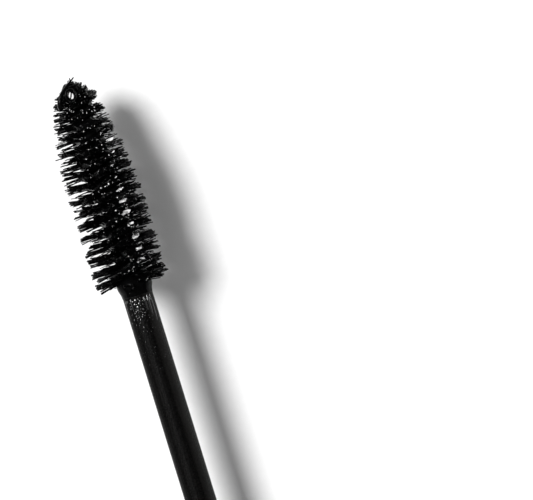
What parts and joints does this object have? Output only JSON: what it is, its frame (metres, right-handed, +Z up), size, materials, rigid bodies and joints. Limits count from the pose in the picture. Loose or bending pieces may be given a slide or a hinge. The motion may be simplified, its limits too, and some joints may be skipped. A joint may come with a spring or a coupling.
{
  "type": "mascara tube with applicator wand",
  "caption": "Opened mascara: a twisted-wire brush on a slim stem in a long screw cap, lying in line with its threaded tube, which holds the wiper and the formula.",
  "frame": {"origin": "middle of the object's footprint, on the surface that the cap and tube lie on, with the wand fully drawn", "axes": "+X along the common axis of wand and tube, from the cap's closed end to the tube's base; +Z up"},
  "size_m": [0.2214, 0.017, 0.017],
  "materials": {
    "gloss_black": "high gloss moulded",
    "satin_black": "fine satin moulded",
    "stem_black": "satin gloss moulded",
    "natural_pe": "natural translucent polyethylene",
    "gasket_rubber": "matt",
    "wire_steel": "drawn stainless wire",
    "bristle_nylon": "nylon fibre wet with paste",
    "mascara_paste": "wet, near-black wax paste",
    "trim": "dark metallised"
  },
  "bodies": {
    "tube": {"bottle": "gloss_black", "shoulder_ring": "trim", "tube_shell": "gloss_black", "base_plug": "satin_black", "wiper": "natural_pe", "formula": "mascara_paste"},
    "gasket_body": {"gasket": "gasket_rubber"},
    "liner_body": {"liner_washer": "natural_pe"},
    "wand": {"cap_shell": "gloss_black", "cap_end_inlay": "trim", "cap_core": "satin_black", "stem": "stem_black", "core_wire": "wire_steel", "bristles": "bristle_nylon", "paste_collar": "mascara_paste", "paste_tip": "mascara_paste"}
  },
  "joints": [
    {"name": "wand_draw", "type": "slide", "parent": "tube", "child": "gasket_body", "axis": [1, 0, 0], "range_m": [0, 0.1007], "deforming": ["bristles", "paste_collar", "wiper"]},
    {"name": "thread_advance", "type": "slide", "parent": "gasket_body", "child": "liner_body", "axis": [1, 0, 0], "range_m": [0, 0.0031]},
    {"name": "cap_turn", "type": "hinge", "parent": "liner_body", "child": "wand", "pos_m": [-0.0877, 0, 0.0085], "axis": [1, 0, 0], "range_deg": [0, 450]}
  ],
  "couplings": [
    {"joint": "thread_advance", "follows": "cap_turn", "m_per_rad": 0.00038197}
  ]
}
